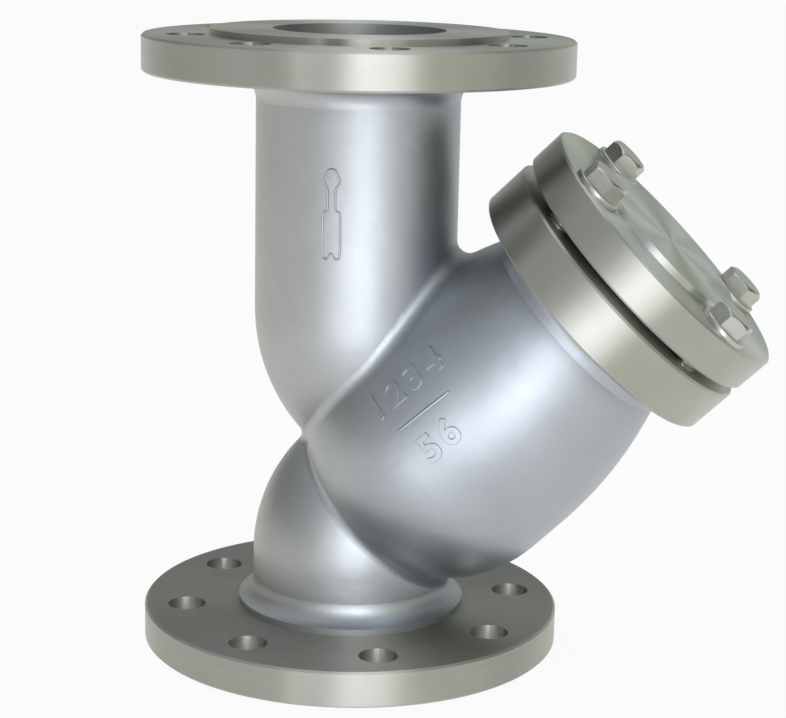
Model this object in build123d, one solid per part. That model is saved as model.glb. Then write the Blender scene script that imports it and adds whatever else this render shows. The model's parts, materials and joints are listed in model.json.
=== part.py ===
from build123d import *
from math import acos, degrees, pi, sin, sqrt
import os

# Flanged Y strainer in cast stainless steel, stood on its inlet flange.
# The origin is the centre of the inlet's raised face. The pipe runs up +Z,
# and the branch leans towards +X in the XZ plane.
# The fluid comes in below, goes up into the open end of the screen, passes
# outwards through it into the barrel, and leaves by the upper leg.

# Pipe run
face_to_face = 295.0
pipe_bore = 80.0
pipe_wall = 7.5

# End flanges, both alike
flange_diameter = 200.0
flange_thickness = 20.0
raised_face_diameter = 138.0
raised_face_height = 3.0
flange_bolt_circle = 160.0
flange_hole_diameter = 18.0
flange_hole_count = 8
hub_rise = 7.0
hub_step = 3.0
hub_fillet = 10.0

# Ends of the two legs, each one arc that turns in from a spring line
lower_spring = 45.0
lower_dome_arc = 79.0
upper_spring = 165.0
upper_dome_arc = 90.0

# Branch: its lean, the height where its axis crosses the pipe's, and its barrel
branch_lean = 45.0
branch_crossing = 57.3
barrel_radius = 65.0
barrel_wall = 7.5
barrel_nose_centre = 63.5
barrel_cylinder = 18.5
barrel_taper_arc = 184.0
neck_length = 9.5
neck_wall = 8.0
neck_fillet = 6.0
branch_bore = 88.0
branch_flange_thickness = 23.0
branch_flange_margin = 12.5

# Wall between the two legs, with the seat that the screen stands in
seat_setback = 37.5
seat_wall = 8.0
seat_bore = 74.0
seat_depth = 5.0
seat_clearance = 0.4

# Soft corners of the casting and broken edges of turned faces. A crease's fillet also stays
# under its share of the step from leg to barrel, which is all the wall that it has to turn in
crease_fillet = 6.0
crease_share = 0.45
edge_break = 1.0

# Screen
ring_clearance = 1.0
ring_upstand = 2.0
ring_base = 2.5
ring_height = 8.0
screen_plate = 1.0
screen_liner = 0.6
screen_gap = 0.1
screen_end_play = 0.4
perforation_width = 16.0
perforation_pitch = 25.0
seam_width = 12.0
seam_thickness = 0.8

# Cover, with a register that goes into the branch bore
cover_thickness = 18.2
cover_pad_height = 3.0
cover_pad_margin = 2.5
cover_plate = 15.0
register_clearance = 0.5
register_depth = 9.0
register_wall = 7.0

# Spiral-wound gasket in the gap between branch flange and cover
gasket_thickness = 4.5
gasket_inset = 0.5
gasket_ring_width = 2.0
gasket_ring_thickness = 3.2
gasket_winding_width = 4.0
gasket_to_bolts = 0.25

# Cover bolts and washers
bolt_count = 4
bolt_diameter = 12.0
bolt_length = 40.0
bolt_across_flats = 18.0
bolt_head_height = 7.5
bolt_crown_inset = 0.5
bolt_crown_drop = 1.4
bolt_point_break = 1.2
bolt_hole_clearance = 1.5
thread_clearance = 0.05
thread_runout = 5.0
washer_width = 5.5
washer_clearance = 1.0
washer_thickness = 2.5

# Radii that follow
bore_radius = pipe_bore / 2
pipe_radius = bore_radius + pipe_wall
neck_radius = branch_bore / 2 + neck_wall
crease_radius = min(crease_fillet, crease_share * (barrel_radius - pipe_radius))
ring_radius = branch_bore / 2 - ring_clearance
screen_radius = ring_radius - ring_upstand
gasket_inner_radius = branch_bore / 2 + gasket_inset
winding_inner_radius = gasket_inner_radius + gasket_ring_width
gasket_outer_radius = winding_inner_radius + gasket_winding_width
bolt_radius = bolt_diameter / 2
bolt_hole_radius = (bolt_diameter + bolt_hole_clearance) / 2
bolt_circle_radius = gasket_outer_radius + gasket_to_bolts + bolt_hole_radius
branch_flange_radius = bolt_circle_radius + branch_flange_margin
washer_inner_radius = (bolt_diameter + washer_clearance) / 2
washer_outer_radius = washer_inner_radius + washer_width
cover_pad_radius = bolt_circle_radius - washer_outer_radius - cover_pad_margin

# Heights that follow, along the branch axis from where it crosses the pipe's
taper_start = barrel_nose_centre + barrel_cylinder
taper_turn = acos((barrel_taper_arc - barrel_radius + neck_radius) / barrel_taper_arc)
taper_end = taper_start + barrel_taper_arc * sin(taper_turn)
branch_flange_back = taper_end + neck_length
branch_flange_face = branch_flange_back + branch_flange_thickness
cover_face = branch_flange_face + gasket_thickness
cover_top = cover_face + cover_thickness
register_end = cover_face - register_depth
seat_floor = barrel_nose_centre - seat_setback
screen_top = register_end - screen_end_play
plate_bottom = seat_floor + ring_base
plate_top = screen_top - ring_base

# Bolts stand either side of the branch's plane
bolt_angles = [(index + 0.5) * 360 / bolt_count for index in range(bolt_count)]

branch = Plane(
    origin=(0, 0, branch_crossing),
    x_dir=Vector(-1, 0, 0).rotate(Axis.Y, branch_lean),
    z_dir=Vector(0, 0, 1).rotate(Axis.Y, branch_lean),
)


def turned(lines):
    """Solid turned about Z from a closed half section in radius and height."""
    return revolve(make_face(Plane.XZ * Curve(lines)), Axis.Z)


def ring(inner, outer, bottom, top):
    """Plain ring about Z."""
    return Pos(0, 0, bottom) * extrude(Circle(outer) - Circle(inner), top - bottom)


def disc(radius, bottom, top):
    """Plain disc about Z."""
    return Pos(0, 0, bottom) * extrude(Circle(radius), top - bottom)


def leg(radius, dome_arc, spring, mouth):
    """One leg: straight from its mouth to the spring line, then one arc in to the axis."""
    turn = degrees(acos((dome_arc - radius) / dome_arc))
    if mouth > spring:
        turn = -turn
    dome = CenterArc((radius - dome_arc, spring), dome_arc, 0, turn)
    straight = Polyline(dome @ 0, (radius, mouth), (0, mouth), dome @ 1)
    return turned([dome, straight])


def barrel_half_section(inset):
    """Ball nose, short cylinder and long taper of the barrel, drawn in from the outside by inset."""
    radius = barrel_radius - inset
    taper = barrel_taper_arc - inset
    nose = CenterArc((0, barrel_nose_centre), radius, -90, 90)
    side = Line(nose @ 1, (radius, taper_start))
    shoulder = CenterArc((radius - taper, taper_start), taper, 0, degrees(taper_turn))
    return nose, side, shoulder


def barrel():
    """Outside of the barrel with the branch flange on its neck."""
    nose, side, shoulder = barrel_half_section(0)
    rim = branch_flange_radius
    fillet_foot = branch_flange_back - neck_fillet
    corner = CenterArc((neck_radius + neck_fillet, fillet_foot), neck_fillet, 180, -90)
    neck = Line(shoulder @ 1, corner @ 0)
    flange = Polyline(
        corner @ 1,
        (rim - edge_break, branch_flange_back),
        (rim, branch_flange_back + edge_break),
        (rim, branch_flange_face - edge_break),
        (rim - edge_break, branch_flange_face),
        (0, branch_flange_face),
        nose @ 0,
    )
    return branch.location * turned([nose, side, shoulder, neck, corner, flange])


def barrel_chamber():
    """Hollow of the barrel above the seat wall, with the branch bore and the screen's seat."""
    nose, side, shoulder = barrel_half_section(barrel_wall)
    lid = Polyline(shoulder @ 1, (0, (shoulder @ 1).Y), nose @ 0)
    above_seat_wall = disc(barrel_radius, seat_floor + seat_depth, cover_face)
    hollow = turned([nose, side, shoulder, lid]) & above_seat_wall
    bore = disc(branch_bore / 2, taper_end - pipe_wall, branch_flange_face + 1)
    seat = disc(ring_radius + seat_clearance, seat_floor, seat_floor + 2 * seat_depth)
    port = disc(seat_bore / 2, seat_floor - 2 * seat_wall, seat_floor + 1)
    return branch.location * (hollow + bore + seat + port)


def end_flange():
    """End flange with its raised face down at Z 0 and the hub that carries the leg."""
    rim = flange_diameter / 2
    face = raised_face_diameter / 2
    hub = pipe_radius + hub_rise
    reach = hub_fillet - hub_rise
    centre_height = flange_thickness + hub_step + sqrt(hub_fillet**2 - reach**2)
    turn = degrees(acos(reach / hub_fillet))
    blend = CenterArc((pipe_radius + hub_fillet, centre_height), hub_fillet, 180, turn)
    outline = Polyline(
        blend @ 1,
        (hub, flange_thickness),
        (rim - edge_break, flange_thickness),
        (rim, flange_thickness - edge_break),
        (rim, raised_face_height + edge_break),
        (rim - edge_break, raised_face_height),
        (face, raised_face_height),
        (face, 0),
        (0, 0),
        (0, centre_height),
        blend @ 0,
    )
    drill = disc(flange_hole_diameter / 2, -1, flange_thickness + 1)
    places = PolarLocations(flange_bolt_circle / 2, flange_hole_count, 180 / flange_hole_count)
    return turned([blend, outline]) - [place * drill for place in places]


def beyond(height):
    """Everything beyond a height on the branch axis, as a block larger than the body."""
    size = 4 * face_to_face
    return branch.location * (Pos(0, 0, height) * extrude(Rectangle(size, size), size))


def body_casting():
    """The one-piece body: two legs, barrel, three flanges and the seat wall between the legs."""
    half_flange = flange_thickness / 2
    body = leg(pipe_radius, lower_dome_arc, lower_spring, half_flange)
    body += leg(pipe_radius, upper_dome_arc, upper_spring, face_to_face - half_flange)
    body += end_flange()
    body += Pos(0, 0, face_to_face) * Rot(180, 0, 0) * end_flange()
    body += barrel()
    creases = body.edges().filter_by(GeomType.BSPLINE)
    body = fillet(creases, crease_radius)

    inlet = leg(bore_radius, lower_dome_arc - pipe_wall, lower_spring, -1)
    outlet = leg(bore_radius, upper_dome_arc - pipe_wall, upper_spring, face_to_face + 1)
    body -= inlet - beyond(seat_floor - seat_wall)
    body -= outlet & beyond(seat_floor + seat_depth)
    body -= barrel_chamber()

    grip = washer_thickness + cover_thickness + gasket_thickness
    depth = bolt_length - grip + thread_runout
    tap = disc(bolt_radius + thread_clearance, branch_flange_face - depth, branch_flange_face + 1)
    for angle in bolt_angles:
        body -= at_bolt(tap, angle, 0)
    return body


def cover():
    """Blind cover with a raised pad outside and a ring-shaped register inside."""
    rim = branch_flange_radius
    register = branch_bore / 2 - register_clearance
    recess = register - register_wall
    pad_top = cover_top + cover_pad_height
    outline = Polyline(
        (recess, register_end),
        (register - edge_break, register_end),
        (register, register_end + edge_break),
        (register, cover_face),
        (rim - edge_break, cover_face),
        (rim, cover_face + edge_break),
        (rim, cover_top - edge_break),
        (rim - edge_break, cover_top),
        (cover_pad_radius, cover_top),
        (cover_pad_radius - edge_break, pad_top),
        (0, pad_top),
        (0, pad_top - cover_plate),
        (recess, pad_top - cover_plate),
        (recess, register_end),
    )
    plate = branch.location * turned([outline])
    drill = disc(bolt_hole_radius, cover_face - 1, cover_top + 1)
    for angle in bolt_angles:
        plate -= at_bolt(drill, angle, 0)
    return plate


def gasket_winding():
    """Wound strip of the gasket."""
    winding = ring(winding_inner_radius, gasket_outer_radius, branch_flange_face, cover_face)
    return branch.location * winding


def gasket_inner_ring():
    """Thinner steel ring inside the winding."""
    bottom = branch_flange_face + (gasket_thickness - gasket_ring_thickness) / 2
    top = bottom + gasket_ring_thickness
    return branch.location * ring(gasket_inner_radius, winding_inner_radius, bottom, top)


def washer():
    """Plain washer standing on Z 0."""
    return ring(washer_inner_radius, washer_outer_radius, 0, washer_thickness)


def bolt():
    """Hexagon bolt about Z with the underside of its head at Z 0."""
    flat = bolt_across_flats / 2
    corner = bolt_across_flats / sqrt(3)
    crown = Polyline(
        (0, 0),
        (corner, 0),
        (corner, bolt_head_height - bolt_crown_drop),
        (flat - bolt_crown_inset, bolt_head_height),
        (0, bolt_head_height),
        (0, 0),
    )
    shank = Polyline(
        (0, 0),
        (bolt_radius, 0),
        (bolt_radius, bolt_point_break - bolt_length),
        (bolt_radius - bolt_point_break, -bolt_length),
        (0, -bolt_length),
        (0, 0),
    )
    hexagon = extrude(RegularPolygon(flat, 6, major_radius=False), bolt_head_height)
    return (hexagon & turned([crown])) + turned([shank])


def at_bolt(piece, angle, height):
    """A piece about Z put on one bolt's axis, at a height on the branch axis."""
    return branch.location * (Rot(0, 0, angle) * Pos(bolt_circle_radius, 0, height) * piece)


def screen_ring():
    """End ring of the screen: a flat base at Z 0 with an upstand round the tube."""
    inside = screen_radius + screen_gap
    outline = Polyline(
        (seat_bore / 2, 0),
        (ring_radius - edge_break / 2, 0),
        (ring_radius, edge_break / 2),
        (ring_radius, ring_height),
        (inside, ring_height),
        (inside, ring_base),
        (seat_bore / 2, ring_base),
        (seat_bore / 2, 0),
    )
    return turned([outline])


def screen_tube():
    """Rolled plate of the screen with staggered hexagonal holes, plain at the end rings and the seam."""
    tube = ring(screen_radius - screen_plate, screen_radius, plate_bottom, plate_top)
    margin = ring_height + perforation_width
    first = seat_floor + margin
    last = screen_top - margin
    gaps = round((last - first) / (perforation_pitch * sqrt(3) / 2))
    columns = round(2 * pi * screen_radius / perforation_pitch)
    hexagon = RegularPolygon(perforation_width / 2, 6, major_radius=False)
    drill = Rot(0, 90, 0) * extrude(hexagon, screen_radius + 1)
    drills = []
    for row in range(gaps + 1):
        height = first + row * (last - first) / gaps
        stagger = row % 2
        for column in range(1, columns - stagger):
            angle = 180 + (column + stagger / 2) * 360 / columns
            drills.append(Pos(0, 0, height) * Rot(0, 0, angle) * drill)
    return branch.location * (tube - drills)


def screen_mesh():
    """Wire cloth that lines the plate, as a plain thin tube."""
    outer = screen_radius - screen_plate - screen_gap
    return branch.location * ring(outer - screen_liner, outer, plate_bottom, plate_top)


def screen_seam():
    """Strip welded over the joint of the rolled plate, from ring to ring, on its lower side."""
    outer = screen_radius + seam_thickness
    band = ring(screen_radius, outer, seat_floor + ring_height, screen_top - ring_height)
    slab = Pos(-outer, 0, 0) * extrude(Rectangle(outer, seam_width), screen_top)
    return branch.location * (band & slab)


pieces = {
    "body_casting": body_casting(),
    "cover": cover(),
    "gasket_winding": gasket_winding(),
    "gasket_inner_ring": gasket_inner_ring(),
    "screen_seat_ring": branch.location * Pos(0, 0, seat_floor) * screen_ring(),
    "screen_cover_ring": branch.location * Pos(0, 0, screen_top) * Rot(180, 0, 0) * screen_ring(),
    "screen_tube": screen_tube(),
    "screen_mesh": screen_mesh(),
    "screen_seam": screen_seam(),
}
for number, angle in enumerate(bolt_angles, start=1):
    pieces[f"bolt_washer_{number}"] = at_bolt(washer(), angle, cover_top)
    pieces[f"cover_bolt_{number}"] = at_bolt(bolt(), angle, cover_top + washer_thickness)

os.makedirs("parts", exist_ok=True)
for name, piece in pieces.items():
    export_step(piece, f"parts/{name}.step")
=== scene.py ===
import json
import math

import bpy
import numpy as np
from mathutils import Matrix, Vector


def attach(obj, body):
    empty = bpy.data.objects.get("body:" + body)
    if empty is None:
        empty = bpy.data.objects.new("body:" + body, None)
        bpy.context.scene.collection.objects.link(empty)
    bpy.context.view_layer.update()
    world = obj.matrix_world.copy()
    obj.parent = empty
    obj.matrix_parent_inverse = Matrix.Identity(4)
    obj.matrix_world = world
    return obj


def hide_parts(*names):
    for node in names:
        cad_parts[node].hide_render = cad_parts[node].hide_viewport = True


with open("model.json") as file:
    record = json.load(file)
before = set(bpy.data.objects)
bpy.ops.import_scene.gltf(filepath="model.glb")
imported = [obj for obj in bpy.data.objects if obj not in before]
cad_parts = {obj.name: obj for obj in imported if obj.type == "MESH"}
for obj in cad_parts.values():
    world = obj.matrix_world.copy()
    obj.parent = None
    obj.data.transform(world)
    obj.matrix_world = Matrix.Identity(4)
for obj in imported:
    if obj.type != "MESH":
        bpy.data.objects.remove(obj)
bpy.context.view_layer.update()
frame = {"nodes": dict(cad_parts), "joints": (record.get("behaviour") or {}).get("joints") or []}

millimetre = 0.001
nodes = frame["nodes"]
joints = {joint["name"]: joint for joint in frame["joints"]}
print("frame loaded, nodes:", len(nodes))

# Axes that everything is placed by: the pipe runs up Z, the branch along the cover's slide
pipeStart = np.zeros(3)
pipeAxis = np.array([0.0, 0.0, 1.0])
branchAxis = np.array(joints["cover_lift"]["axis"])
branchAxis /= np.linalg.norm(branchAxis)
boltNumbers = range(1, 1 + sum(name.startswith("cover_bolt_") for name in nodes))
boltPlaces = [np.array(joints[f"bolt_{number}_unscrew"]["pos_m"]) for number in boltNumbers]
boltsCentre = np.mean(boltPlaces, axis=0)
branchStart = boltsCentre - branchAxis * boltsCentre[0] / branchAxis[0]
nearSide = np.array([0.0, -1.0, 0.0])  # towards the camera, square to the branch's plane
upperSide = np.cross(nearSide, branchAxis)  # square to the branch, up and to the left
boltFeet = [place - branchAxis * ((place - branchStart) @ branchAxis) for place in boltPlaces]


# Height range along an axis, and nearest and farthest distance from it, of a CAD node
def reach(node, start, axis):
    mesh = nodes[node].data
    points = np.empty(len(mesh.vertices) * 3, np.float32)
    mesh.vertices.foreach_get("co", points)
    points = points.reshape(-1, 3) - start
    heights = points @ axis
    radii = np.linalg.norm(points - np.outer(heights, axis), axis=1)
    return {"low": heights.min(), "high": heights.max(), "inner": radii.min(), "outer": radii.max()}


# sRGB hex text to the linear colour that sockets take
def hexColour(text):
    values = np.array([int(text[place:place + 2], 16) for place in (1, 3, 5)]) / 255
    linear = np.where(values <= 0.04045, values / 12.92, ((values + 0.055) / 1.055) ** 2.4)
    return (*linear.tolist(), 1.0)


# One node with its settings, its values and its links
def addNode(tree, kind, inputs=None, **settings):
    node = tree.nodes.new(kind)
    for name, value in settings.items():
        setattr(node, name, value)
    for name, value in (inputs or {}).items():
        if isinstance(value, bpy.types.NodeSocket):
            tree.links.new(value, node.inputs[name])
        else:
            node.inputs[name].default_value = value
    return node


# Empty material with a Principled shader on its output
def startMaterial(name, **fixed):
    material = bpy.data.materials.new(name)
    material.use_nodes = True
    tree = material.node_tree
    tree.nodes.clear()
    shader = addNode(tree, "ShaderNodeBsdfPrincipled", fixed)
    addNode(tree, "ShaderNodeOutputMaterial", {"Surface": shader.outputs["BSDF"]})
    return material, tree, shader


# Sockets that say where a surface point lies about an axis: height, radius and the way round
def aboutAxis(tree, start, axis):
    place = addNode(tree, "ShaderNodeTexCoord").outputs["Object"]
    offset = addNode(tree, "ShaderNodeVectorMath", {
        0: place, 1: start.tolist(),
    }, operation="SUBTRACT").outputs[0]
    height = addNode(tree, "ShaderNodeVectorMath", {0: offset, 1: axis.tolist()}, operation="DOT_PRODUCT")
    around = addNode(tree, "ShaderNodeVectorMath", {
        0: axis.tolist(), 1: offset,
    }, operation="CROSS_PRODUCT").outputs[0]
    radius = addNode(tree, "ShaderNodeVectorMath", {0: around}, operation="LENGTH")
    return {
        "place": place,
        "height": height.outputs["Value"],
        "radius": radius.outputs["Value"],
        "around": addNode(tree, "ShaderNodeVectorMath", {0: around}, operation="NORMALIZE").outputs[0],
    }


castLook = {
    "tint": "#bcbebf",
    "shade": "#aaacad",
    "warmReflection": "#fffcf4",  # painted reflection: a warmer filter on the side away from the branch, for the warmer room that the legs reflect
    "coolReflection": "#f7fbff",
    "warmReflectionUntil": -40,  # X where the warm painted reflection starts to give way to the cool one, mm
    "coolReflectionFrom": 35,
    "blotch": 28,  # width of the pickling's cloudy patches, mm
    "grain": 0.9,  # width of the blasted dimples, drawn coarser than the real 0.3 mm so that they show, mm
    "wave": 9,  # slow unevenness of the mould, mm
    "roughness": 0.45,
    "roughSpread": 0.06,
    "waveStrength": 0.25,
    "waveDepth": 0.6,
    "grainStrength": 0.3,
    "grainDepth": 0.1,
}


# Bead-blasted investment casting: matt silver with a fine sparkle and cloudy patches, and a painted
# reflection tint that runs from warm on the legs to cool on the barrel
def makeCast(name, look):
    material, tree, shader = startMaterial(name, Metallic=1.0)
    place = addNode(tree, "ShaderNodeTexCoord").outputs["Object"]
    scales = {key: 1 / (look[key] * millimetre) for key in ("blotch", "grain", "wave")}
    blotch = addNode(tree, "ShaderNodeTexNoise", {"Vector": place, "Scale": scales["blotch"], "Detail": 4.0})
    grain = addNode(tree, "ShaderNodeTexNoise", {"Vector": place, "Scale": scales["grain"], "Detail": 3.0})
    wave = addNode(tree, "ShaderNodeTexNoise", {"Vector": place, "Scale": scales["wave"], "Detail": 2.0})
    colour = addNode(tree, "ShaderNodeMix", {
        "Factor": blotch.outputs["Fac"], 6: hexColour(look["shade"]), 7: hexColour(look["tint"]),
    }, data_type="RGBA")
    # Painted reflection: a filter from warm to cool along X, for the warm and bluish room colours that the
    # legs and the barrel reflect
    across = addNode(tree, "ShaderNodeSeparateXYZ", {"Vector": place}).outputs["X"]
    reflectionDrift = addNode(tree, "ShaderNodeMapRange", {
        "Value": across,
        "From Min": look["warmReflectionUntil"] * millimetre,
        "From Max": look["coolReflectionFrom"] * millimetre,
    })
    reflectionTint = addNode(tree, "ShaderNodeMix", {
        "Factor": reflectionDrift.outputs[0], 6: hexColour(look["warmReflection"]), 7: hexColour(look["coolReflection"]),
    }, data_type="RGBA")
    reflectionTinted = addNode(tree, "ShaderNodeMix", {
        "Factor": 1.0, 6: colour.outputs[2], 7: reflectionTint.outputs[2],
    }, data_type="RGBA", blend_type="MULTIPLY")
    rough = addNode(tree, "ShaderNodeMapRange", {
        "Value": grain.outputs["Fac"],
        "To Min": look["roughness"] - look["roughSpread"],
        "To Max": look["roughness"] + look["roughSpread"],
    })
    slow = addNode(tree, "ShaderNodeBump", {
        "Height": wave.outputs["Fac"],
        "Strength": look["waveStrength"], "Distance": look["waveDepth"] * millimetre,
    })
    fine = addNode(tree, "ShaderNodeBump", {
        "Height": grain.outputs["Fac"], "Normal": slow.outputs["Normal"],
        "Strength": look["grainStrength"], "Distance": look["grainDepth"] * millimetre,
    })
    tree.links.new(reflectionTinted.outputs[2], shader.inputs["Base Color"])
    tree.links.new(rough.outputs[0], shader.inputs["Roughness"])
    tree.links.new(fine.outputs["Normal"], shader.inputs["Normal"])
    return material


turnedLook = {
    "tint": "#bbbab1",
    "shade": "#adaca2",
    "stain": 22,  # width of the faint handling marks, mm
    "lines": 0.7,  # spacing of the tool marks, drawn coarser than the real 0.2 mm so that they show, mm
    "roughness": 0.4,
    "roughSpread": 0.07,
    "grooveStrength": 0.15,
    "grooveDepth": 0.05,
    "anisotropic": 0.95,
    "quarterTurn": 0.25,
}
# Cover face: smoother than the rims, and a lighter tint that is painted light on its face
facePaintedLightLook = dict(turnedLook, tint="#cdcfc6", shade="#bfc2b8", roughness=0.36)
# Flange backs: rougher from the coarser turning, and darker as painted shade where the leg and barrel shut
# out the light
backPaintedShadeLook = dict(turnedLook, tint="#a09f96", shade="#919087", roughness=0.46)


# Turned steel: fine rings about the lathe's axis. The tangent runs along the rings, and a
# quarter turn of the anisotropy stretches the highlights across them, as a lathe's marks do.
def makeTurned(name, look, start, axis):
    material, tree, shader = startMaterial(name, Metallic=1.0, Anisotropic=look["anisotropic"])
    shader.inputs["Anisotropic Rotation"].default_value = look["quarterTurn"]
    about = aboutAxis(tree, start, axis)
    scale = 1 / (look["lines"] * millimetre)
    section = addNode(tree, "ShaderNodeCombineXYZ", {"X": about["radius"], "Y": about["height"]})
    lines = addNode(tree, "ShaderNodeTexNoise", {"Vector": section.outputs[0], "Scale": scale, "Detail": 2.0})
    stain = addNode(tree, "ShaderNodeTexNoise", {
        "Vector": about["place"], "Scale": 1 / (look["stain"] * millimetre), "Detail": 3.0,
    })
    colour = addNode(tree, "ShaderNodeMix", {
        "Factor": stain.outputs["Fac"], 6: hexColour(look["shade"]), 7: hexColour(look["tint"]),
    }, data_type="RGBA")
    rough = addNode(tree, "ShaderNodeMapRange", {
        "Value": lines.outputs["Fac"],
        "To Min": look["roughness"] - look["roughSpread"],
        "To Max": look["roughness"] + look["roughSpread"],
    })
    groove = addNode(tree, "ShaderNodeBump", {
        "Height": lines.outputs["Fac"],
        "Strength": look["grooveStrength"], "Distance": look["grooveDepth"] * millimetre,
    })
    tree.links.new(colour.outputs[2], shader.inputs["Base Color"])
    tree.links.new(rough.outputs[0], shader.inputs["Roughness"])
    tree.links.new(groove.outputs["Normal"], shader.inputs["Normal"])
    tree.links.new(about["around"], shader.inputs["Tangent"])
    return material


# Several materials on one CAD node: each face takes the first whose test of its centre holds
def dress(node, *choices):
    mesh = nodes[node].data
    mesh.materials.clear()
    centres = np.empty(len(mesh.polygons) * 3, np.float32)
    mesh.polygons.foreach_get("center", centres)
    centres = centres.reshape(-1, 3)
    chosen = np.zeros(len(centres), np.int32)
    for place, (material, test) in reversed(list(enumerate(choices))):
        chosen[test(centres)] = place
    for material, test in choices:
        mesh.materials.append(material)
    mesh.polygons.foreach_set("material_index", chosen)


# Height along an axis and distance from it, for an array of points
def split(points, start, axis):
    heights = (points - start) @ axis
    return heights, np.linalg.norm(points - start - np.outer(heights, axis), axis=1)


castStainless = makeCast("castStainlessBlasted", castLook)
turnedPipe = makeTurned("turnedStainlessPipeFlanges", turnedLook, pipeStart, pipeAxis)
turnedBackPaintedShade = makeTurned("turnedStainlessFlangeBacksPaintedShade", backPaintedShadeLook, pipeStart, pipeAxis)
turnedBranch = makeTurned("turnedStainlessBranch", turnedLook, branchStart, branchAxis)
turnedFacePaintedLight = makeTurned("turnedStainlessCoverFacePaintedLight", facePaintedLightLook, branchStart, branchAxis)

bodyReach = reach("body_casting", pipeStart, pipeAxis)
# Radius just past the hubs, and how far from a face its own facets may lie
flange = {"thickness": 20 * millimetre, "hub": 54.6 * millimetre, "slack": 0.2 * millimetre}
# Height of its back on the branch, and radius just past the fillet of the neck
branchFlange = {"back": 159.4 * millimetre, "neck": 58.2 * millimetre}
coverReach = reach("cover", branchStart, branchAxis)
windingReach = reach("gasket_winding", branchStart, branchAxis)  # it lies on the branch flange's face
coverPad = {"height": 3.2 * millimetre, "edge": 0.5 * millimetre}


# Distance from the nearer end of the pipe run, and from its axis
def fromPipeEnd(points):
    heights, radii = split(points, pipeStart, pipeAxis)
    return np.minimum(heights - bodyReach["low"], bodyReach["high"] - heights), radii


def onPipeFlange(points):
    fromEnd, radii = fromPipeEnd(points)
    return (fromEnd < flange["thickness"] + flange["slack"]) & (radii > flange["hub"])


# The side towards the leg, turned more coarsely than the rim, with a darker tint that is painted shade from
# the leg and barrel beside it
def onFlangeBack(points):
    fromEnd, radii = fromPipeEnd(points)
    return (np.abs(fromEnd - flange["thickness"]) < flange["slack"]) & (radii > flange["hub"])


def onPipeFace(points):
    return fromPipeEnd(points)[0] < flange["slack"]


def onBranchFlange(points):
    heights, radii = split(points, branchStart, branchAxis)
    slack = flange["slack"]
    rim = (heights > branchFlange["back"] - slack) & (radii > branchFlange["neck"])
    face = heights > windingReach["low"] - slack
    within = (heights < windingReach["low"] + slack) & (radii < coverReach["outer"] + slack)
    return (rim | face) & within


# The cover's raised face, which takes the painted light
def onCoverFace(points):
    heights, radii = split(points, branchStart, branchAxis)
    high = heights > coverReach["high"] - coverPad["height"]
    return high & (radii < coverReach["outer"] - coverPad["edge"])


def anywhere(points):
    return np.ones(len(points), bool)


dress(
    "body_casting",
    (turnedBackPaintedShade, onFlangeBack), (turnedPipe, onPipeFlange), (turnedPipe, onPipeFace),
    (turnedBranch, onBranchFlange), (castStainless, anywhere),
)
dress("cover", (turnedFacePaintedLight, onCoverFace), (turnedBranch, anywhere))
print("casting and cover dressed")


# Closed mesh over a grid of points with shape (rows, columns, 3). Columns close on themselves.
# Rows close too where the section is a ring, and otherwise one flat face shuts each end.
def skin(name, points, ringRows=False, sharpDegrees=35):
    rows, columns = points.shape[:2]
    index = np.arange(rows * columns).reshape(rows, columns)
    low = index if ringRows else index[:-1]
    high = np.roll(index, -1, axis=0) if ringRows else index[1:]
    quads = np.stack([low, np.roll(low, -1, axis=1), np.roll(high, -1, axis=1), high], axis=-1)
    faces = quads.reshape(-1, 4).tolist()
    if not ringRows:
        faces += [index[0, ::-1].tolist(), index[-1].tolist()]
    return meshPiece(name, points.reshape(-1, 3), faces, sharpDegrees)


def meshPiece(name, points, faces, sharpDegrees):
    mesh = bpy.data.meshes.new(name)
    mesh.from_pydata(points.tolist(), [], faces)
    mesh.update()
    piece = bpy.data.objects.new(name, mesh)
    bpy.context.scene.collection.objects.link(piece)
    smoothByAngle(piece, sharpDegrees)
    return piece


def smoothByAngle(piece, degrees):
    bpy.ops.object.select_all(action="DESELECT")
    piece.select_set(True)
    bpy.context.view_layer.objects.active = piece
    bpy.ops.object.shade_smooth_by_angle(angle=math.radians(degrees))


# Points turned about an axis: start + height along it + radius round it, from sideways "across"
def turn(radii, heights, angles, start, axis, across):
    second = np.cross(axis, across)
    ways = np.cos(angles)[..., None] * across + np.sin(angles)[..., None] * second
    return start + heights[..., None] * axis + radii[..., None] * ways


def wayRound(columns):
    return np.arange(columns) * 2 * math.pi / columns


# A closed section (radius, height) carried round an axis
def turnedRing(name, section, columns, start, axis, across):
    radii, heights = np.array(section).T
    angles = np.broadcast_to(wayRound(columns), (len(section), columns))
    spread = np.ones(columns)
    points = turn(np.outer(radii, spread), np.outer(heights, spread), angles, start, axis, across)
    return skin(name, points, ringRows=True)


def finishPiece(piece, body, slot, material, *replaced):
    piece.data.materials.clear()
    piece.data.materials.append(material)
    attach(piece, body)
    if replaced:
        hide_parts(*replaced)


boltLook = {
    "diameter": 12,
    "pitch": 1.75,
    "threadDepth": 1.0,
    "flats": 18,
    "crownDrop": 1.4,
    "crownInset": 0.5,
    "point": 1.2,
    "runout": 2.0,  # plain length under the head
    "crownRows": 9,
    "columns": 48,
    "rowsPerTurn": 12,
    "sharpDegrees": 25,
}
steelLook = {
    "tint": "#bfbfb7",
    "shade": "#b3b3aa",
    "grain": 2.4,
    "roughness": 0.3,
    "roughSpread": 0.05,
    "grainStrength": 0.1,
    "grainDepth": 0.04,
}


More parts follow.
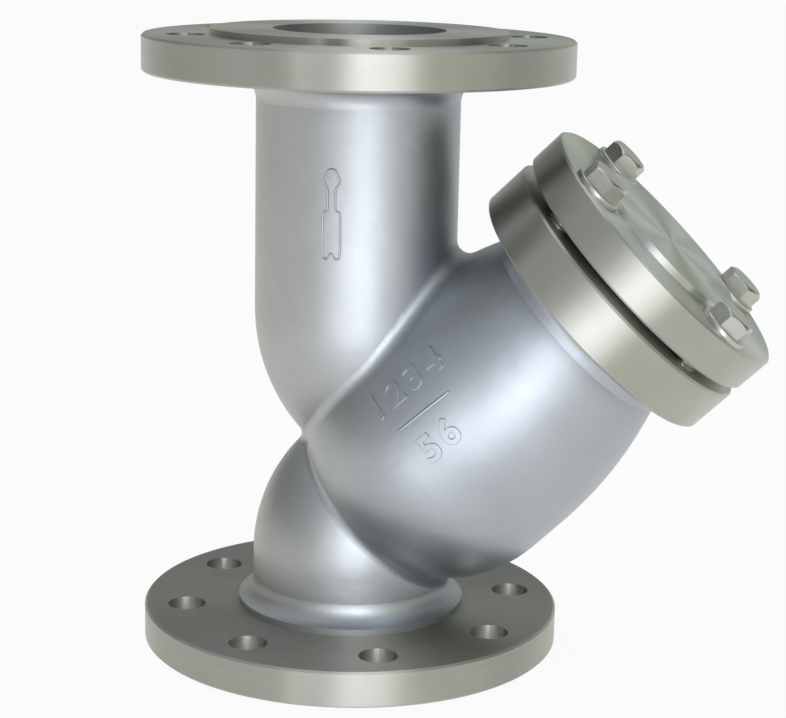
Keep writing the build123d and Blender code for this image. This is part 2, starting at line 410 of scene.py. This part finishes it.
# Cold-formed stainless: smooth and bright with a faint mottled grain
def makeFormed(name, look):
    material, tree, shader = startMaterial(name, Metallic=1.0)
    place = addNode(tree, "ShaderNodeTexCoord").outputs["Object"]
    grain = addNode(tree, "ShaderNodeTexNoise", {
        "Vector": place, "Scale": 1 / (look["grain"] * millimetre), "Detail": 2.0,
    })
    colour = addNode(tree, "ShaderNodeMix", {
        "Factor": grain.outputs["Fac"], 6: hexColour(look["shade"]), 7: hexColour(look["tint"]),
    }, data_type="RGBA")
    rough = addNode(tree, "ShaderNodeMapRange", {
        "Value": grain.outputs["Fac"],
        "To Min": look["roughness"] - look["roughSpread"],
        "To Max": look["roughness"] + look["roughSpread"],
    })
    bump = addNode(tree, "ShaderNodeBump", {
        "Height": grain.outputs["Fac"],
        "Strength": look["grainStrength"], "Distance": look["grainDepth"] * millimetre,
    })
    tree.links.new(colour.outputs[2], shader.inputs["Base Color"])
    tree.links.new(rough.outputs[0], shader.inputs["Roughness"])
    tree.links.new(bump.outputs["Normal"], shader.inputs["Normal"])
    return material


boltSteel = makeFormed("boltSteelColdFormed", steelLook)


# Hexagon bolt. The shank's radius follows a cosine of the height and of the angle, one wave a
# pitch, which winds the thread. The head's is the hexagon's, cut by the cone of its crown.
def boltPoints(look, number):
    washer = reach(f"bolt_washer_{number}", branchStart, branchAxis)
    node = reach(f"cover_bolt_{number}", branchStart, branchAxis)
    under, top, end = washer["high"], node["high"], node["low"]
    angles = wayRound(look["columns"])
    radius = look["diameter"] / 2 * millimetre
    depth = look["threadDepth"] * millimetre
    pitch = look["pitch"] * millimetre
    point = look["point"] * millimetre
    runout = look["runout"] * millimetre
    turns = (under - end) / pitch
    shank = np.linspace(end, under, int(turns * look["rowsPerTurn"]))
    phase = 2 * math.pi * shank[:, None] / pitch - angles
    fade = np.clip((under - runout - shank) / pitch, 0, 1)[:, None]
    cone = (radius - point + (shank - end))[:, None]
    shankRadii = np.minimum(radius - depth * fade * (0.5 - 0.5 * np.cos(phase)), cone)
    flat = look["flats"] / 2 * millimetre
    sixth = math.pi / 3
    hexagon = flat / np.cos((angles % sixth) - sixth / 2)
    corner = flat / math.cos(sixth / 2)
    crown = np.linspace(0, 1, look["crownRows"])
    drop = look["crownDrop"] * millimetre
    inset = flat - look["crownInset"] * millimetre
    head = np.concatenate([[under], top - drop + drop * crown])
    headCone = np.concatenate([[corner], corner + (inset - corner) * crown])
    headRadii = np.minimum(hexagon, headCone[:, None])
    heights = np.concatenate([shank, head])
    return np.concatenate([shankRadii, headRadii]), heights, angles


for number in boltNumbers:
    foot = boltFeet[number - 1]
    across = (foot - branchStart) / np.linalg.norm(foot - branchStart)
    radii, heights, angles = boltPoints(boltLook, number)
    spread = np.broadcast_to(heights[:, None], radii.shape)
    grid = turn(radii, spread, np.broadcast_to(angles, radii.shape), foot, branchAxis, across)
    bolt = skin(f"bolt{number}", grid, sharpDegrees=boltLook["sharpDegrees"])
    finishPiece(bolt, f"cover_bolt_{number}", "bolt_steel", boltSteel, f"cover_bolt_{number}")
print("bolts made")


washerLook = {"inner": 6.5, "outer": 12, "rollover": 0.6, "burr": 0.15, "columns": 72}


# Quarter round between two straight sides: centre, radius and start angle in degrees
def quarter(centre, radius, startDegrees, steps=4):
    angles = np.radians(startDegrees + np.linspace(0, 90, steps + 1))
    return [(centre[0] + radius * math.cos(angle), centre[1] + radius * math.sin(angle)) for angle in angles]


# Stamped washer: a flat ring whose upper edges roll over more than the lower ones
def washerSection(look, low, high):
    inner, outer = look["inner"] * millimetre, look["outer"] * millimetre
    roll, burr = look["rollover"] * millimetre, look["burr"] * millimetre
    return (
        quarter((inner + burr, low + burr), burr, 180)
        + quarter((outer - burr, low + burr), burr, 270)
        + quarter((outer - roll, high - roll), roll, 0)
        + quarter((inner + roll, high - roll), roll, 90)
    )


for number in boltNumbers:
    extent = reach(f"bolt_washer_{number}", branchStart, branchAxis)
    section = washerSection(washerLook, extent["low"], extent["high"])
    foot = boltFeet[number - 1]
    washer = turnedRing(f"washer{number}", section, washerLook["columns"], foot, branchAxis, upperSide)
    finishPiece(washer, f"bolt_washer_{number}", "bolt_steel", boltSteel, f"bolt_washer_{number}")
print("washers made")


gasketLook = {
    "turns": 10,
    "ridge": 0.12,
    "chevron": 0.5,
    "columns": 180,
    "strip": "#77797a",
    "filler": "#2b2b2d",
    "stripFrom": 0.35,  # shares of one strip's width between which the colour changes
    "stripUntil": 0.65,
    "metallic": 0.6,
    "roughness": 0.5,
}


# Wound gasket: steel strip edges stand as ridges out of graphite, with chevron sides
def makeWinding(name, look, extent):
    material, tree, shader = startMaterial(name, Metallic=look["metallic"], Roughness=look["roughness"])
    about = aboutAxis(tree, branchStart, branchAxis)
    step = (extent["outer"] - extent["inner"]) / look["turns"]
    share = addNode(tree, "ShaderNodeMath", {0: about["radius"], 1: step}, operation="PINGPONG")
    sharp = addNode(tree, "ShaderNodeMapRange", {
        "Value": share.outputs[0],
        "From Min": look["stripFrom"] * step,
        "From Max": look["stripUntil"] * step,
    })
    colour = addNode(tree, "ShaderNodeMix", {
        "Factor": sharp.outputs[0], 6: hexColour(look["filler"]), 7: hexColour(look["strip"]),
    }, data_type="RGBA")
    tree.links.new(colour.outputs[2], shader.inputs["Base Color"])
    return material


def windingSection(look, extent):
    steps = np.arange(2 * look["turns"] + 1)
    radii = extent["inner"] + steps * (extent["outer"] - extent["inner"]) / steps[-1]
    ridge = look["ridge"] * millimetre * (steps % 2)
    middle = (extent["low"] + extent["high"]) / 2
    bottom = list(zip(radii, extent["low"] + ridge))
    top = list(zip(radii[::-1], extent["high"] - ridge[::-1]))
    chevron = look["chevron"] * millimetre
    return bottom + [(extent["outer"] - chevron, middle)] + top + [(extent["inner"] + chevron, middle)]


section = windingSection(gasketLook, windingReach)
winding = turnedRing("gasketWinding", section, gasketLook["columns"], branchStart, branchAxis, upperSide)
gasketGraphite = makeWinding("gasketSteelAndGraphite", gasketLook, windingReach)
finishPiece(winding, "root", "graphite_winding", gasketGraphite, "gasket_winding")
print("gasket made")


plateLook = {
    "hole": 3.0,
    "pitch": 4.6,
    "thickness": 1.0,
    "endMargin": 0.6,
    "mergeWithin": 0.02,  # corners of neighbouring cells that count as one point, mm
    "sharpDegrees": 35,
    "tint": "#bfc0bd",
    "shade": "#abaca8",
    "grain": 2.5,
    "roughness": 0.3,
    "roughSpread": 0.05,
    "grainStrength": 0.1,
    "grainDepth": 0.04,
}


# Perforated plate rolled into a tube. Round holes stand in the middle of hexagonal cells that
# tile the plate, and each cell is a ring of quads from the hole out to the hexagon.
def perforatedTube(name, look, extent):
    outer = extent["outer"]
    columns = int(round(2 * math.pi * outer / (look["pitch"] * millimetre)))
    pitch = 2 * math.pi * outer / columns
    rowStep = pitch * math.sqrt(3) / 2
    cellReach = pitch / math.sqrt(3)
    margin = look["endMargin"] * millimetre
    tall = extent["high"] - extent["low"] - 2 * (cellReach + margin)
    rows = int(tall / rowStep) + 1
    first = (extent["high"] + extent["low"]) / 2 - (rows - 1) * rowStep / 2
    steps = np.arange(12)  # the hexagon's six corners and the middles of its six sides
    ways = steps * math.pi / 6
    cell = np.where(steps % 2 == 1, cellReach, pitch / 2)
    hole = look["hole"] / 2 * millimetre
    column, row = np.meshgrid(np.arange(columns), np.arange(rows))
    along = ((column + 0.5 * (row % 2)) * pitch).reshape(-1, 1, 1)
    up = (first + row * rowStep).reshape(-1, 1, 1)
    radius = np.stack([np.full(len(steps), hole), cell])[None]
    arcs = along + radius * np.cos(ways)
    heights = up + radius * np.sin(ways)
    points = turn(np.full(arcs.shape, outer), heights, arcs / outer, branchStart, branchAxis, -upperSide)
    index = np.arange(arcs.size).reshape(arcs.shape)
    inside, rim = index[:, 0], index[:, 1]
    quads = np.stack([inside, rim, np.roll(rim, -1, axis=1), np.roll(inside, -1, axis=1)], axis=-1)
    piece = meshPiece(name, points.reshape(-1, 3), quads.reshape(-1, 4).tolist(), look["sharpDegrees"])
    bpy.ops.object.mode_set(mode="EDIT")
    bpy.ops.mesh.select_all(action="SELECT")
    bpy.ops.mesh.remove_doubles(threshold=look["mergeWithin"] * millimetre)
    bpy.ops.object.mode_set(mode="OBJECT")
    wall = piece.modifiers.new("plateThickness", "SOLIDIFY")
    wall.thickness = look["thickness"] * millimetre
    wall.offset = -1
    return piece


plateReach = reach("screen_tube", branchStart, branchAxis)
plate = perforatedTube("screenPlate", plateLook, plateReach)
plateSteel = makeFormed("perforatedPlateRolled", plateLook)
finishPiece(plate, "screen", "perforated_plate", plateSteel, "screen_tube")
print("screen plate made")


clothLook = {
    "wire": "#b4b5b1",
    # painted shade in the weave's openings, where the inside of the screen would show
    "gap": "#3c3d3c",
    "pitch": 1.4,  # drawn coarser than the real 0.5 mm so that it shows, mm
    "edge": 0.4,
    "roughness": 0.4,
    "weaveStrength": 0.6,
    "weaveDepth": 0.2,
}


# Woven wire cloth: two sets of wires cross over and under, with painted shade where the gaps are
def makeCloth(name, look, radius):
    material, tree, shader = startMaterial(name, Metallic=1.0, Roughness=look["roughness"])
    about = aboutAxis(tree, branchStart, branchAxis)
    ways = [
        addNode(tree, "ShaderNodeVectorMath", {
            0: about["around"], 1: side.tolist(),
        }, operation="DOT_PRODUCT").outputs["Value"]
        for side in (upperSide, nearSide)
    ]
    angle = addNode(tree, "ShaderNodeMath", {0: ways[0], 1: ways[1]}, operation="ARCTAN2").outputs[0]
    wires = round(2 * math.pi * radius / (look["pitch"] * millimetre))
    waves = []
    for socket, turns in ((angle, wires), (about["height"], 2 * math.pi / (look["pitch"] * millimetre))):
        grown = addNode(tree, "ShaderNodeMath", {0: socket, 1: turns}, operation="MULTIPLY").outputs[0]
        waves.append(addNode(tree, "ShaderNodeMath", {0: grown}, operation="COSINE").outputs[0])
    top = addNode(tree, "ShaderNodeMath", {0: waves[0], 1: waves[1]}, operation="MAXIMUM").outputs[0]
    factor = addNode(tree, "ShaderNodeMapRange", {
        "Value": top, "From Min": -look["edge"], "From Max": look["edge"],
    })
    colour = addNode(tree, "ShaderNodeMix", {
        "Factor": factor.outputs[0], 6: hexColour(look["gap"]), 7: hexColour(look["wire"]),
    }, data_type="RGBA")
    bump = addNode(tree, "ShaderNodeBump", {
        "Height": top, "Strength": look["weaveStrength"], "Distance": look["weaveDepth"] * millimetre,
    })
    tree.links.new(colour.outputs[2], shader.inputs["Base Color"])
    tree.links.new(bump.outputs["Normal"], shader.inputs["Normal"])
    return material


clothReach = reach("screen_mesh", branchStart, branchAxis)
dress("screen_mesh", (makeCloth("wireClothWoven", clothLook, clothReach["outer"]), anywhere))
ringSteel = makeTurned("screenRingsTurned", dict(turnedLook, roughness=0.3), branchStart, branchAxis)
for node in ("screen_seat_ring", "screen_cover_ring", "gasket_inner_ring"):
    dress(node, (ringSteel, anywhere))
dress("screen_seam", (boltSteel, anywhere))
print("screen dressed")


arrowLook = {
    "pipeRadius": 47.5,
    "middle": -0.5,  # arc from the near side to the arrow's middle, mm
    "low": 195.6,
    "notch": 3.0,
    "notchHalf": 1.6,
    "shoulder": 216.5,
    "neck": 227.0,
    "widest": 230.5,
    "tip": 236.0,
    "bodyHalf": 4.1,
    "neckHalf": 1.7,
    "headHalf": 3.9,
    "tipHalf": 1.6,
    "lineHalf": 0.5,
    "height": 0.7,
    "sink": 0.4,
    "shoulderRise": 1.0,
    "stepsPerSide": 6,
    "softenings": 2,
    "ridgeColumns": 10,
    "sharpDegrees": 80,
}


# Raised outline of the flow arrow: a rounded ridge carried along a closed path and wrapped on
# the leg, with arc length round it and height up it
def flowArrow(name, look):
    side = [
        (look["notchHalf"], look["low"]),
        (look["bodyHalf"], look["low"]),
        (look["bodyHalf"], look["shoulder"]),
        (look["neckHalf"], look["shoulder"] + look["shoulderRise"]),
        (look["neckHalf"], look["neck"]),
        (look["headHalf"], look["widest"]),
        (look["tipHalf"], look["tip"]),
    ]
    outline = side + [(-across, up) for across, up in reversed(side)] + [(0, look["low"] + look["notch"])]
    corners = np.array(outline)
    ahead = np.roll(corners, -1, axis=0)
    share = (np.arange(look["stepsPerSide"]) / look["stepsPerSide"])[None, :, None]
    path = (corners[:, None] * (1 - share) + ahead[:, None] * share).reshape(-1, 2)
    for _ in range(look["softenings"]):
        path = (np.roll(path, 1, axis=0) + 2 * path + np.roll(path, -1, axis=0)) / 4
    way = np.roll(path, -1, axis=0) - np.roll(path, 1, axis=0)
    way /= np.linalg.norm(way, axis=1, keepdims=True)
    normal = np.stack([way[:, 1], -way[:, 0]], axis=1)
    turns = wayRound(look["ridgeColumns"])
    across = look["lineHalf"] * np.cos(turns)
    rise = np.maximum(look["height"] * np.sin(turns), -look["sink"])
    flat = path[:, None] + across[None, :, None] * normal[:, None]
    radii = (look["pipeRadius"] + np.broadcast_to(rise, flat.shape[:2])) * millimetre
    arcs = (flat[..., 0] + look["middle"]) / look["pipeRadius"]
    points = turn(radii, flat[..., 1] * millimetre, arcs, pipeStart, pipeAxis, nearSide)
    return skin(name, points, ringRows=True, sharpDegrees=look["sharpDegrees"])


arrow = flowArrow("flowArrow", arrowLook)
finishPiece(arrow, "root", "cast_stainless", castStainless)

marksLook = {
    "upper": "1234",
    "lower": "56",
    "size": 17.5,
    "spacing": 1.3,
    "bold": 0.25,
    "height": 1.0,
    "bevel": 0.25,
    "sharpDegrees": 40,
    "upperPlace": (85, 31),  # along the branch, and round the barrel from the near side, mm
    "lowerPlace": (83, 0.5),
    "barStart": (70.3, 21.3),
    "barEnd": (101.0, 19.7),
    "barHalf": 0.9,
    "barRise": 0.75,  # share of the numbers' height
    "barRows": 25,
    "barColumns": 12,
    "barSquareness": 12,  # power by which the width holds until close to the ends
    "barTip": 0.002,  # keeps the last rows from shrinking to a point
    "barSharpDegrees": 80,
}
barrelLook = {"radius": 65, "noseCentre": 63.5, "taperStart": 82, "taperArc": 184}


# Radius of the barrel at a height on the branch: ball nose, cylinder, then the long taper's arc
def barrelRadius(heights, look):
    nose = np.sqrt(np.maximum(look["radius"] ** 2 - (heights - look["noseCentre"]) ** 2, 0))
    fall = look["taperArc"] - np.sqrt(look["taperArc"] ** 2 - (heights - look["taperStart"]) ** 2)
    radii = np.where(heights < look["noseCentre"], nose, look["radius"])
    return np.where(heights > look["taperStart"], look["radius"] - fall, radii)


# Moves flat points in mm onto the barrel: x along the branch, y up round it and z out of it
def wrapOnBarrel(points, look):
    along, around, rise = points[..., 0], points[..., 1], points[..., 2]
    radii = barrelRadius(along, look) + rise
    angles = -around / look["radius"]
    return turn(radii * millimetre, along * millimetre, angles, branchStart, branchAxis, nearSide)


def raisedText(name, text, look, place):
    curve = bpy.data.curves.new(name, "FONT")
    curve.body = text
    curve.size = look["size"]
    curve.extrude = look["height"]
    curve.bevel_depth = look["bevel"]
    curve.bevel_resolution = 2
    curve.offset = look["bold"]
    curve.align_x = "CENTER"
    curve.space_character = look["spacing"]
    flat = bpy.data.objects.new(name + "Curve", curve)
    bpy.context.scene.collection.objects.link(flat)
    evaluated = flat.evaluated_get(bpy.context.evaluated_depsgraph_get())
    mesh = bpy.data.meshes.new_from_object(evaluated)
    bpy.data.objects.remove(flat)
    points = np.empty(len(mesh.vertices) * 3, np.float32)
    mesh.vertices.foreach_get("co", points)
    points = points.reshape(-1, 3) + np.array([*place, -look["height"] / 2])
    mesh.vertices.foreach_set("co", wrapOnBarrel(points, barrelLook).astype(np.float32).ravel())
    mesh.update()
    piece = bpy.data.objects.new(name, mesh)
    bpy.context.scene.collection.objects.link(piece)
    smoothByAngle(piece, look["sharpDegrees"])
    finishPiece(piece, "root", "cast_stainless", castStainless)


# Rounded bar between the numbers: an ellipse, half of it above the barrel, with rounded ends
def raisedBar(name, look):
    share = np.linspace(-1, 1, look["barRows"])[:, None]
    start, end = np.array(look["barStart"]), np.array(look["barEnd"])
    middle = (start + end) / 2 + share * (end - start) / 2
    way = (end - start) / np.linalg.norm(end - start)
    width = look["barHalf"] * np.sqrt(1 + look["barTip"] - share ** look["barSquareness"])
    turns = wayRound(look["barColumns"])
    rise = look["height"] * look["barRise"] * np.sin(turns)
    points = np.empty((len(share), len(turns), 3))
    points[..., 0] = middle[:, :1] - width * np.cos(turns) * way[1]
    points[..., 1] = middle[:, 1:] + width * np.cos(turns) * way[0]
    points[..., 2] = np.broadcast_to(rise, points.shape[:2])
    bar = skin(name, wrapOnBarrel(points, barrelLook), sharpDegrees=look["barSharpDegrees"])
    finishPiece(bar, "root", "cast_stainless", castStainless)


raisedText("numbersUpper", marksLook["upper"], marksLook, marksLook["upperPlace"])
raisedBar("numbersBar", marksLook)
raisedText("numbersLower", marksLook["lower"], marksLook, marksLook["lowerPlace"])
print("arrow, numbers and bar made")


# Camera where the photograph was taken from, fitted to the flanges and the cover
cameraLook = {
    "distance": 935.69,
    "height": 354.49,
    "turnDegrees": 13.18,
    "aimDegrees": 12.053,
    "downDegrees": 12.932,
    "rollDegrees": 1.187,
    "lens": 92.19,
}


def makeCamera(look):
    data = bpy.data.cameras.new("camera")
    data.lens = look["lens"]
    camera = bpy.data.objects.new("camera", data)
    bpy.context.scene.collection.objects.link(camera)
    around = math.radians(look["turnDegrees"])
    distance = look["distance"] * millimetre
    height = look["height"] * millimetre
    place = Matrix.Translation((distance * math.sin(around), -distance * math.cos(around), height))
    aim = Matrix.Rotation(math.radians(look["aimDegrees"]), 4, "Z")
    tilt = Matrix.Rotation(math.radians(90 - look["downDegrees"]), 4, "X")
    roll = Matrix.Rotation(math.radians(look["rollDegrees"]), 4, "Z")
    camera.matrix_world = place @ aim @ tilt @ roll
    bpy.context.scene.camera = camera


makeCamera(cameraLook)

studioLook = {
    "floor": "#eeeeec",
    "floorRadius": 20,  # metres
    "floorCorners": 96,
    "floorRoughness": 0.9,
    "floorWhite": 0.92,  # share of plain white that camera and reflections see on the floor
    # Room round the object: degrees from the camera's side towards its right, colour, strength
    "bands": [
        (-180, "#cfd4ce", 0.75), (-150, "#cfd4ce", 0.6), (-120, "#c4c8bc", 0.3), (-90, "#c2c5c2", 0.5),
        (-60, "#c0c6cc", 0.8), (-38, "#c6c8c4", 0.8), (-34, "#d8d6cc", 0.8), (-31, "#ffffff", 3.6),
        (-28, "#b9b2b4", 0.35), (-11, "#b3acb0", 0.35),
        (-7, "#eef2fc", 2.8), (7, "#eef2fc", 2.8), (12, "#f8f9f6", 1.6), (34, "#f3f1e4", 1.4),
        (40, "#dfdccb", 0.9), (79, "#d9d6c4", 0.65), (85, "#a6a596", 0.28), (104, "#a6a596", 0.28),
        (112, "#c9cec8", 0.5), (140, "#cfd8d0", 0.8), (162, "#cfd8d0", 0.8), (180, "#cfd4ce", 0.75),
    ],
    "bandsTop": 0.3,  # sine of the height where the bands start to give way to the ceiling
    "ceilingFrom": 0.75,
    "ceiling": ("#c6cdd6", 0.95),
    "lamps": [
        # name, place in metres, aimed at, width, height, colour, watts
        ("frontCard", (0.23, -0.5, 0.22), (0.02, 0, 0.14), 0.28, 0.44, "#ebf0fc", 0.52),
        ("lowCard", (0.06, -0.36, 0.09), (0.0, 0, 0.16), 0.3, 0.16, "#ebf0fc", 0.28),
        ("topPanel", (0.1, 0.2, 2.4), (0.0, 0, 0.15), 1.6, 1.6, "#ffffff", 8),
    ],
}


def makeFloor(look):
    bpy.ops.mesh.primitive_circle_add(
        vertices=look["floorCorners"], radius=look["floorRadius"], fill_type="NGON",
    )
    floor = bpy.context.object
    floor.name = "floor"
    material, tree, shader = startMaterial("paperFloor", Roughness=look["floorRoughness"])
    shader.inputs["Base Color"].default_value = hexColour(look["floor"])
    path = addNode(tree, "ShaderNodeLightPath")
    seen = path.outputs["Is Camera Ray"]
    for ray in ("Is Glossy Ray", "Is Transmission Ray"):
        seen = addNode(tree, "ShaderNodeMath", {0: seen, 1: path.outputs[ray]}, operation="ADD").outputs[0]
    share = addNode(tree, "ShaderNodeMath", {0: seen, 1: look["floorWhite"]}, operation="MULTIPLY")
    white = addNode(tree, "ShaderNodeEmission", {"Color": (1, 1, 1, 1), "Strength": 1.0})
    mix = addNode(tree, "ShaderNodeMixShader", {
        0: share.outputs[0], 1: shader.outputs[0], 2: white.outputs[0],
    })
    output = next(node for node in tree.nodes if node.type == "OUTPUT_MATERIAL")
    tree.links.new(mix.outputs[0], output.inputs["Surface"])
    floor.data.materials.append(material)


# Colour of the room in every direction: bands that stand round the object under a plain ceiling
def makeWorld(look):
    world = bpy.data.worlds.new("studio")
    bpy.context.scene.world = world
    world.use_nodes = True
    tree = world.node_tree
    tree.nodes.clear()
    around = math.radians(cameraLook["turnDegrees"])
    front = (math.sin(around), -math.cos(around), 0)
    right = (math.cos(around), math.sin(around), 0)
    way = addNode(tree, "ShaderNodeTexCoord").outputs["Generated"]
    parts = [
        addNode(tree, "ShaderNodeVectorMath", {0: way, 1: side}, operation="DOT_PRODUCT").outputs["Value"]
        for side in (right, front, (0, 0, 1))
    ]
    angle = addNode(tree, "ShaderNodeMath", {0: parts[0], 1: parts[1]}, operation="ARCTAN2").outputs[0]
    share = addNode(tree, "ShaderNodeMapRange", {"Value": angle, "From Min": -math.pi, "From Max": math.pi})
    ramp = addNode(tree, "ShaderNodeValToRGB", {"Fac": share.outputs[0]})
    brightest = max(strength for degrees, colour, strength in look["bands"])
    elements = ramp.color_ramp.elements
    for place, (degrees, colour, strength) in enumerate(look["bands"]):
        spot = (degrees + 180) / 360
        element = elements[place] if place < 2 else elements.new(spot)
        element.position = spot
        element.color = (*(np.array(hexColour(colour)[:3]) * strength / brightest).tolist(), 1)
    bands = addNode(tree, "ShaderNodeBackground", {"Color": ramp.outputs["Color"], "Strength": brightest})
    colour, strength = look["ceiling"]
    ceiling = addNode(tree, "ShaderNodeBackground", {"Color": hexColour(colour), "Strength": strength})
    high = addNode(tree, "ShaderNodeMapRange", {
        "Value": parts[2], "From Min": look["bandsTop"], "From Max": look["ceilingFrom"],
    })
    mix = addNode(tree, "ShaderNodeMixShader", {
        0: high.outputs[0], 1: bands.outputs[0], 2: ceiling.outputs[0],
    })
    addNode(tree, "ShaderNodeOutputWorld", {"Surface": mix.outputs[0]})


def makeLamp(name, place, target, width, height, colour, watts):
    data = bpy.data.lights.new(name, "AREA")
    data.shape = "RECTANGLE"
    data.size, data.size_y = width, height
    data.color = hexColour(colour)[:3]
    data.energy = watts
    lamp = bpy.data.objects.new(name, data)
    bpy.context.scene.collection.objects.link(lamp)
    turnTo = Vector(np.array(target) - np.array(place)).to_track_quat("-Z", "Y")
    lamp.matrix_world = Matrix.Translation(place) @ turnTo.to_matrix().to_4x4()
    lamp.visible_camera = False


makeFloor(studioLook)
makeWorld(studioLook)
for lamp in studioLook["lamps"]:
    makeLamp(*lamp)
bpy.context.scene.view_settings.view_transform = "Standard"
print("studio made")
